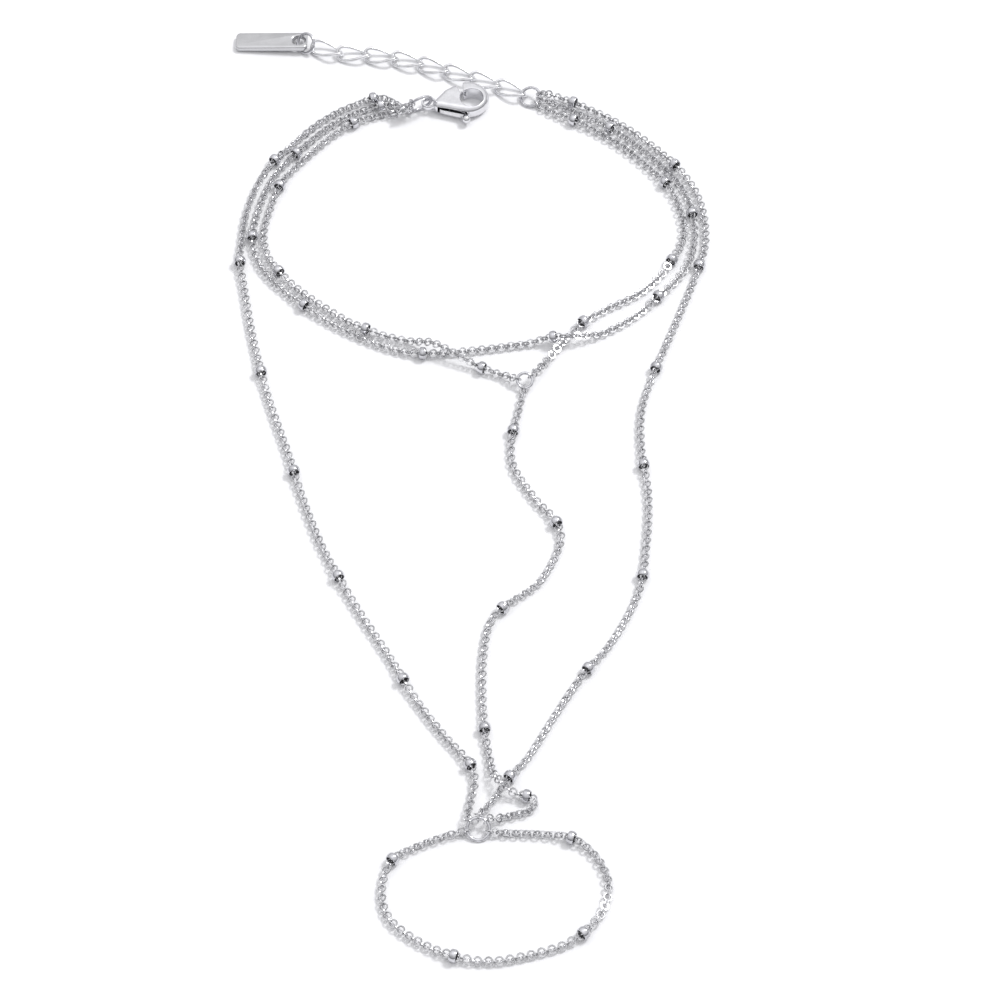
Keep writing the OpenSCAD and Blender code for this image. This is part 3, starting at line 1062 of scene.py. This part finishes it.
@dataclass
class LobsterClasp:
    """Lobster clasp: a cast body with an eye, a hook and a slot, and the lever in the slot.

    Attributes:
        x: Place of the eye's centre.
        y: Place of the eye's centre.
        turn: Turn of the long axis from X.
        thick: Thickness of the body.
        eye_outside: Outside diameter of the eye.
        eye_hole: Diameter of the hole in the eye.
        eye_thick: Thickness of the eye.
        outline: Discs that the body's outline is drawn round.
        window: Discs that the hole inside the hook is drawn round.
        mouth: Discs that the mouth of the hook is drawn round.
        lever_thick: Thickness of lever that the slot has room for, besides the play.
        plate: Height of the underside and of the top of the lever's plate.
        limbs: Pairs of discs that the lever's limbs are drawn round.
        pivot: Place of the pin.
        pin: Diameter of the pin.
        pin_short: How much shorter the pin is than the body is thick.
        swing: Travel of the lever in degrees.
        swing_step: Step in degrees at which the slot follows the lever's travel.
        play: Clearance between the lever and the body.
        past: How far the window and the mouth are cut past the faces.
        thumb: Place and diameter of the ball that the thumb pulls.
        body_round: Width of the body's rounding.
        lever_round: Width of the lever's rounding.
        grain: Size of the facets that the casting is rounded from.
        smoothing: How often those facets are smoothed.
    """

    x: float = -9.38
    y: float = 64.52
    turn: float = 7.6
    thick: float = 2.0
    eye_outside: float = 2.1
    eye_hole: float = 1.24
    eye_thick: float = 0.8
    outline: tuple[Disc, ...] = ((1.3, -0.6, 0.8), (3.0, 0.6, 1.2), (5.27, -0.03, 2.7))
    window: tuple[Disc, ...] = ((5.65, -0.5, 1.55), (4.5, 0.1, 0.3), (4.95, -1.6, 0.3))
    mouth: tuple[Disc, ...] = ((4.3, 2.4, 0.5), (4.5, 0.6, 0.24))
    lever_thick: float = 0.9
    plate: tuple[float, float] = (0.5, 1.2)
    limbs: tuple[tuple[Disc, Disc], ...] = (
        ((2.9, -0.2, 0.75), (1.6, -1.3, 0.35)),
        ((1.6, -1.3, 0.35), (4.2, -2.5, 0.35)),
        ((4.2, -2.5, 0.35), (4.56, -3.42, 0.42)),
        ((2.9, -0.2, 0.6), (4.42, 1.25, 0.3)),
    )
    pivot: tuple[float, float] = (2.9, -0.2)
    pin: float = 0.6
    pin_short: float = 0.6
    swing: int = 20
    swing_step: int = 5
    play: float = 0.12
    past: float = 0.5
    thumb: Place = (4.56, -3.42, 1.1)
    body_round: float = 0.78
    lever_round: float = 0.24
    grain: float = 0.06
    smoothing: int = 8

    @property
    def seat(self) -> Matrix:
        """Place of the clasp."""
        return moved(self.x, self.y) @ turned("Z", self.turn)

    def swung(self, disc: Disc, angle: float, more: float) -> Disc:
        """Swing a disc of the lever about the pin and make it larger.

        Args:
            disc: The disc at rest.
            angle: The swing in degrees.
            more: What is added to its radius.

        Returns:
            The swung disc.
        """
        x, y = disc[0] - self.pivot[0], disc[1] - self.pivot[1]
        c, s = math.cos(math.radians(angle)), math.sin(math.radians(angle))
        return (self.pivot[0] + c * x - s * y, self.pivot[1] + s * x + c * y, disc[2] + more)

    def cast(self, obj: bpy.types.Object) -> None:
        """Melt an object's overlapping solids into one and soften its edges."""
        apply_modifier(obj, "REMESH", mode="VOXEL", voxel_size=self.grain)
        apply_modifier(obj, "SMOOTH", factor=0.5, iterations=self.smoothing)

    def build_body(self) -> bpy.types.Object:
        """Model the body, from its plate and eye with the window, mouth and slot cut.

        Returns:
            The body, in metres at its place.
        """
        body = disc_hull(self.outline, 0.0, self.thick)
        round_edges(body, self.body_round, 7)
        for hollow in (self.window, self.mouth):
            cut(body, disc_hull(hollow, -self.past, self.thick + self.past))
        low = (self.thick - self.lever_thick - self.play) / 2
        angles = range(0, self.swing + 1, self.swing_step)
        for limb in self.limbs:
            room = [self.swung(disc, -angle, self.play) for disc in limb for angle in angles]
            cut(body, disc_hull(room, low, self.thick - low))
        deselect_all()
        wire = (self.eye_outside - self.eye_hole) / 4
        bpy.ops.mesh.primitive_torus_add(
            major_segments=64,
            minor_segments=20,
            major_radius=(self.eye_outside + self.eye_hole) / 4,
            minor_radius=wire,
            location=(0, 0, self.thick / 2),
        )
        bpy.context.object.scale.z = self.eye_thick / (2 * wire)
        eye = settle()
        pin = rod(self.pin / 2, self.thick - self.pin_short, (*self.pivot, self.thick / 2), 24)
        body = join([body, eye, pin])
        self.cast(body)
        return repeat(body, [self.seat])

    def build_lever(self) -> bpy.types.Object:
        """Model the lever, with its ball and the bore for the pin.

        Returns:
            The lever, in metres at its place.
        """
        limbs = [disc_hull(limb, *self.plate) for limb in self.limbs]
        for limb in limbs:
            round_edges(limb, self.lever_round, 4)
        deselect_all()
        bpy.ops.mesh.primitive_uv_sphere_add(
            segments=32,
            ring_count=20,
            radius=self.thumb[2] / 2,
            location=(self.thumb[0], self.thumb[1], self.thick / 2),
        )
        lever = join([*limbs, settle()])
        self.cast(lever)
        bore = (self.pin + self.play) / 2
        cut(lever, rod(bore, 2 * self.thick, (*self.pivot, self.thick / 2), 32))
        return repeat(lever, [self.seat])

    def dress(self) -> None:
        """Build the body and the lever and hand them over."""
        body, lever = self.build_body(), self.build_lever()
        hand_over(body, "clasp_shell", "clasp_body", CLASP_STEEL)
        hand_over(lever, "clasp_trigger", "clasp_lever", LEVER_STEEL, Body.LEVER)


@dataclass
class Studio:
    """Pale floor, soft studio light and the camera.

    Attributes:
        distance: Distance of the camera from the point it looks at.
        elevation: Elevation of the camera.
        film_width: Width of the film.
        focal: Focal length for that film.
        near: Distance in metres that the camera sees from.
        floor_side: Side of the floor, in metres.
        paper: Colours of the floor's paper.
        fibres: Number of the paper's fibres in a metre.
        walls: Colours of the room, from the horizon and lower, its darkest, to overhead.
        brightest: Direction of the room's brightest place.
        room_light: Strength of the light from the room.
        key_place: Place of the key light, in metres.
        key_size: Width and height of the key light's face, in metres.
        key_power: Power of the key light, in watts.
    """

    distance: float = 500.0
    elevation: float = 53.0
    film_width: float = 36.0
    focal: float = 147.3
    near: float = 0.01
    floor_side: float = 4.0
    paper: Stops = ((0.0, "#ECECEE"), (1.0, "#F3F3F4"))
    fibres: float = 900.0
    walls: Stops = (
        (0.4, "#616163"), (0.5, "#717173"), (0.65, "#9D9D9F"),
        (0.83, "#C7C7C8"), (0.95, "#CCCCCD"), (1.0, "#F4F4F6"),
    )
    brightest: Place = (0.0, 0.2, 0.98)
    room_light: float = 1.62
    key_place: Place = (0.85, 0.57, 1.49)
    key_size: tuple[float, float] = (0.36, 0.36)
    key_power: float = 15.0

    def floor(self) -> None:
        """Lay the pale floor under the chain."""
        deselect_all()
        bpy.ops.mesh.primitive_plane_add(size=self.floor_side)
        sheet = bpy.context.object
        sheet.name = "floor_sheet"
        paper = bpy.data.materials.new("white_paper")
        paper.use_nodes = True
        tree = paper.node_tree
        shader = tree.nodes["Principled BSDF"]
        place = add_node(tree, "ShaderNodeTexCoord").outputs["Object"]
        fibre = add_node(
            tree, "ShaderNodeTexNoise", {"Vector": place, "Scale": self.fibres, "Detail": 4.0}
        )
        tint = add_node(tree, "ShaderNodeValToRGB", {"Fac": fibre.outputs["Fac"]})
        paint_ramp(tint.color_ramp, self.paper)
        tree.links.new(tint.outputs["Color"], shader.inputs["Base Color"])
        shader.inputs["Roughness"].default_value = 0.9
        shader.inputs["Specular IOR Level"].default_value = 0.1
        sheet.data.materials.append(paper)

    def lamp(self) -> None:
        """Hang the key light, a soft box that faces the chain."""
        light = bpy.data.lights.new("key_box", "AREA")
        light.shape = "RECTANGLE"
        light.size, light.size_y = self.key_size
        light.energy = self.key_power
        lamp = bpy.data.objects.new("key_box", light)
        lamp.location = self.key_place
        lamp.rotation_euler = (-Vector(self.key_place)).to_track_quat("-Z", "Y").to_euler()
        bpy.context.collection.objects.link(lamp)

    def light(self) -> None:
        """Light the chain from the back right, in a soft room that is brightest overhead."""
        self.lamp()
        world = bpy.data.worlds.new("studio_room")
        world.use_nodes = True
        tree = world.node_tree
        way = add_node(tree, "ShaderNodeTexCoord").outputs["Generated"]
        facing = add_node(
            tree, "ShaderNodeVectorMath", {0: way, 1: self.brightest}, operation="DOT_PRODUCT"
        )
        share = add_node(
            tree, "ShaderNodeMapRange", {"Value": facing.outputs["Value"], "From Min": -1.0}
        )
        walls = add_node(tree, "ShaderNodeValToRGB", {"Fac": share.outputs["Result"]})
        walls.color_ramp.interpolation = "B_SPLINE"
        paint_ramp(walls.color_ramp, self.walls)
        room = tree.nodes["Background"]
        tree.links.new(walls.outputs["Color"], room.inputs["Color"])
        room.inputs["Strength"].default_value = self.room_light
        bpy.context.scene.world = world

    def camera(self) -> None:
        """Set the camera up at the angle of the photograph."""
        film = bpy.data.cameras.new("camera")
        film.sensor_width = self.film_width
        film.lens = self.focal
        film.clip_start = self.near
        camera = bpy.data.objects.new("camera", film)
        bpy.context.collection.objects.link(camera)
        aim = -LAYOUT_MIDDLE * MM
        rise = math.radians(self.elevation)
        back = Vector((0.0, -math.cos(rise), math.sin(rise))) * self.distance * MM
        camera.location = aim + back
        camera.rotation_euler = (-back).to_track_quat("-Z", "Y").to_euler()
        bpy.context.scene.camera = camera

    def set_up(self) -> None:
        """Set up the floor, the lights and the camera."""
        self.floor()
        self.light()
        self.camera()
        view = bpy.context.scene.view_settings
        view.view_transform = "Standard"
        view.look = "None"


# Routes of the strands in the layout: x, y and, where raised, height

LONG_ROUTE: list[RoutePoint] = [
    (-14.9, 64.4, 0.6), (-18.4, 63.4), (-22.3, 60.8), (-25.9, 56.8), (-29.3, 52.1),
    (-31.1, 46.5), (-31.7, 41.2), (-30.3, 36.5), (-26.7, 32.1), (-21.4, 27.6),
    (-15.1, 24.0), (-10.4, 22.5), (-6.6, 22.7), (-1.3, 23.4), (3.4, 24.2),
    (6.2, 24.6, 1.3), (8.4, 24.5, 1.6), (10.4, 24.9, 1.3), (13.0, 25.9), (16.6, 28.3),
    (20.3, 32.0), (23.6, 36.5), (24.9, 41.4), (24.6, 46.5), (22.9, 51.2),
    (18.3, 57.0), (13.1, 61.4), (7.9, 64.4, 0.6),
]
LEFT_HAND_ROUTE: list[RoutePoint] = [
    (-33.2, 37.5), (-32.5, 33.0), (-31.1, 25.0), (-29.0, 16.0), (-26.2, 7.0),
    (-24.3, 0.4), (-21.5, -7.6), (-17.6, -15.8), (-13.3, -23.5), (-10.2, -29.4),
    (-6.9, -34.5), (-3.6, -38.9), (-3.0, -41.4), (-3.4, -44.0, 0.6),
]
RIGHT_HAND_START: list[RoutePoint] = [(6.9, 66.1, 0.9), (8.8, 65.35, 0.6)]
RIGHT_HAND_ROUTE: list[RoutePoint] = [
    (25.3, 36.5), (22.7, 28.9), (19.4, 19.8), (17.6, 13.6), (17.4, 7.3),
    (18.1, 0.0), (17.7, -7.4), (16.6, -14.4), (13.4, -21.4), (9.4, -27.0),
    (6.2, -32.6), (3.4, -37.8), (1.0, -41.0), (-0.6, -43.6), (-1.9, -45.6, 0.9),
]
MIDDLE_HAND_ROUTE: list[RoutePoint] = [
    (2.2, 12.8), (1.4, 8.5), (1.7, 4.5), (4.2, -0.2), (6.8, -3.9),
    (7.2, -7.4), (4.8, -12.7), (1.4, -15.7), (-1.1, -18.6), (-2.0, -23.5),
    (-2.1, -29.9), (-1.7, -35.2), (-1.2, -38.5), (-0.8, -40.6, 1.2), (0.1, -42.2, 1.85),
    (1.2, -43.0, 1.2), (2.2, -43.3, 0.8), (3.2, -43.5, 0.7), (4.1, -44.3), (3.3, -45.4),
    (1.6, -45.9), (0.1, -46.4, 0.7),
]
LEFT_WRIST_START: list[RoutePoint] = [(-13.1, 62.2, 1.75)]
LEFT_WRIST_ROUTE: list[RoutePoint] = [
    (-16.5, 26.2), (-11.6, 24.5, 0.7), (-8.8, 23.6, 1.6), (-6.9, 22.5, 1.75),
    (-4.9, 21.4, 1.35), (-1.6, 19.8, 0.6), (0.8, 18.8, 0.8),
]
RIGHT_WRIST_ROUTE: list[RoutePoint] = [
    (5.3, 20.4, 0.9), (6.6, 22.5), (8.3, 25.0), (10.3, 27.4), (13.4, 29.8),
    (17.6, 32.4), (21.0, 36.2),
]
FINGER_ROUTE: list[RoutePoint] = [
    (-6.3, -48.8), (-9.5, -50.2), (-12.4, -52.2), (-13.5, -56.0), (-12.6, -59.8),
    (-9.3, -62.8), (-5.0, -64.9), (-1.0, -65.4), (3.4, -64.6), (8.2, -62.8),
    (11.2, -59.6), (12.4, -55.6), (11.2, -51.8), (8.4, -49.2), (4.5, -48.5),
    (1.2, -48.4),
]
# Distance between two strands that lie side by side, and the seed of the first strand
STRAND_GAP = 1.42
FIRST_SEED = 11


def beside(route: Sequence[RoutePoint], first: int, last: int, gap: float) -> list[RoutePoint]:
    """Move part of a route sideways, for a strand that lies along another.

    Args:
        route: The route of the other strand.
        first: First point of the part.
        last: Last point of the part.
        gap: How far it moves to its left.

    Returns:
        The moved points.
    """
    moved_points = []
    for i in range(first, last + 1):
        before, after = route[max(i - 1, 0)], route[min(i + 1, len(route) - 1)]
        ahead = Vector((after[0] - before[0], after[1] - before[1])).normalized()
        x, y, *height = route[i]
        moved_points.append((x - gap * ahead.y, y + gap * ahead.x, *height))
    return moved_points


@dataclass
class HandChain:
    """The whole hand chain: its rings, strands, extender, tag and clasp.

    Attributes:
        clasp_ring: Ring of the clasp.
        extender_ring: Ring that the extender starts on.
        wrist_ring: Ring in front of the wrist.
        finger_ring: Ring of the finger loop.
        tag_ring_outside: Outside diameter of the tag's ring.
        tag_ring_wire: Diameter of its wire.
        tag_ring_tilt: Tilt of the tag's ring from lying flat.
        tag_ring_play: Play between the last link and the tag's ring.
        tag_hole_from_ring: Place of the tag's hole from the middle of its ring.
    """

    clasp_ring: JumpRing = field(
        default_factory=lambda: JumpRing(
            "clasp_ring", -10.48, 63.85, 1.74, 106.0, 3.6, 80.0, turn=24.0
        )
    )
    extender_ring: JumpRing = field(
        default_factory=lambda: JumpRing(
            "extender_ring", 4.0, 65.95, 0.75, 25.0, 3.0, 285.0, turn=-35.0
        )
    )
    wrist_ring: JumpRing = field(
        default_factory=lambda: JumpRing("wrist_ring", 3.1, 17.8, 1.12, 28.0, 2.3, 215.0)
    )
    finger_ring: JumpRing = field(
        default_factory=lambda: JumpRing("finger_ring", -2.5, -48.0, 0.84, 28.0, 3.0, 285.0)
    )
    tag_ring_outside: float = 3.0
    tag_ring_wire: float = 0.4
    tag_ring_tilt: float = 50.0
    tag_ring_play: float = 0.1
    tag_hole_from_ring: tuple[float, float] = (-0.95, 0.55)

    def strands(self) -> list[Strand]:
        """Lay out the seven strands.

        Returns:
            The strands, with their beads.
        """
        clasp, extender = self.clasp_ring, self.extender_ring
        wrist, finger = self.wrist_ring, self.finger_ring
        outer_left = beside(LONG_ROUTE, 0, 6, -STRAND_GAP)
        outer_right = beside(LONG_ROUTE, 22, 26, -STRAND_GAP)[::-1]
        inner_left = beside(LONG_ROUTE, 0, 9, STRAND_GAP)
        inner_right = beside(LONG_ROUTE, 22, 27, STRAND_GAP)
        # Name, route, ring and angle of either end, and the distance of each bead
        table = (
            ("left_hand", outer_left + LEFT_HAND_ROUTE, (clasp, 220.0), (finger, 138.0),
             (5.4, 22.3, 40.3, 58.6, 74.9, 91.9, 108.9, 123.4)),
            ("right_hand", RIGHT_HAND_START + outer_right + RIGHT_HAND_ROUTE,
             (extender, 46.0), (finger, 92.0),
             (4.3, 21.5, 39.6, 57.3, 72.9, 89.7, 105.1, 123.0)),
            ("middle_hand", MIDDLE_HAND_ROUTE, (wrist, -97.0), (finger, 45.0),
             (6.5, 22.2, 37.6, 55.5, 67.8)),
            ("long_wrist", LONG_ROUTE, (clasp, 177.0), (extender, 15.0),
             (4.0, 18.0, 33.5, 47.3, 64.6, 81.2, 97.2, 112.5, 131.0)),
            ("left_wrist", LEFT_WRIST_START + inner_left + LEFT_WRIST_ROUTE,
             (clasp, 140.0), (wrist, 168.0),
             (9.1, 23.6, 38.8, 53.6, 69.9)),
            ("right_wrist", RIGHT_WRIST_ROUTE + inner_right, (wrist, 38.0), (extender, -18.0),
             (11.2, 26.7, 40.6, 56.8)),
            ("finger", FINGER_ROUTE, (finger, 190.0), (finger, -12.0),
             (9.0, 26.2, 41.7, 56.9)),
        )
        return [
            Strand(name, route, StrandEnd(*first), StrandEnd(*last), beads, seed)
            for seed, (name, route, first, last, beads) in enumerate(table, FIRST_SEED)
        ]

    def tag_ring(self, extender: TwistedExtender) -> JumpRing:
        """Hang the tag's ring on the last link, with its wire on the surface.

        Args:
            extender: The run of links.

        Returns:
            The ring.
        """
        reach = (self.tag_ring_outside - self.tag_ring_wire) / 2
        overlap = (self.tag_ring_wire + extender.wire) / 2 + self.tag_ring_play
        along = extender.half_length + reach - overlap
        last = extender.middle(extender.count - 1)
        place = last + along * extender.direction(extender.count)
        height = reach * math.sin(math.radians(self.tag_ring_tilt)) + self.tag_ring_wire / 2
        return JumpRing(
            "tag_ring",
            place.x,
            place.y,
            height,
            self.tag_ring_tilt,
            self.tag_ring_outside,
            20.0,
            self.tag_ring_wire,
            turn=-45.0,
        )

    def dress(self) -> None:
        """Build every part in order and hand it over."""
        for ring in (self.clasp_ring, self.extender_ring, self.wrist_ring, self.finger_ring):
            ring.dress()
        for strand in self.strands():
            strand.dress()
        extender = TwistedExtender(self.extender_ring)
        extender.dress()
        ring = self.tag_ring(extender)
        ring.dress()
        BareTag(ring.x + self.tag_hole_from_ring[0], ring.y + self.tag_hole_from_ring[1]).dress()
        LobsterClasp().dress()


def main() -> None:
    """Build the chain and the studio."""
    logging.basicConfig(level=logging.INFO, format="%(name)s: %(message)s")
    HandChain().dress()
    Studio().set_up()


if __name__ == "__main__":
    main()
